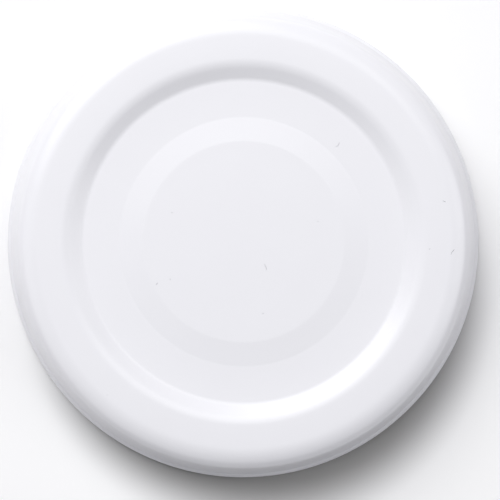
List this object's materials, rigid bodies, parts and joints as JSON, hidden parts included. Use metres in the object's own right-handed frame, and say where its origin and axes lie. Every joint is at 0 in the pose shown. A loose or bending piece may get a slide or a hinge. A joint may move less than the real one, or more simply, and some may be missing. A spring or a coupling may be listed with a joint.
{
  "type": "twist-off jar lid",
  "caption": "Round white lacquered metal twist-off lid with a sunk panel, raised centre, rolled edge and pressed lugs; closes and seals a glass jar.",
  "frame": {"origin": "centre of the circle on which the rolled edge stands", "axes": "+Z along the lid's axis, out of its top; +Y is the picture's upward direction; the lugs lie half way between X and Y"},
  "size_m": [0.066, 0.066, 0.0099],
  "materials": {
    "lid_shell": "glossy white lacquer on tinplate, inside and out",
    "sealing_ring": "satin off-white cast plastisol"
  },
  "bodies": {
    "root": {"lid_shell": "lid_shell", "sealing_ring": "sealing_ring"}
  },
  "joints": []
}
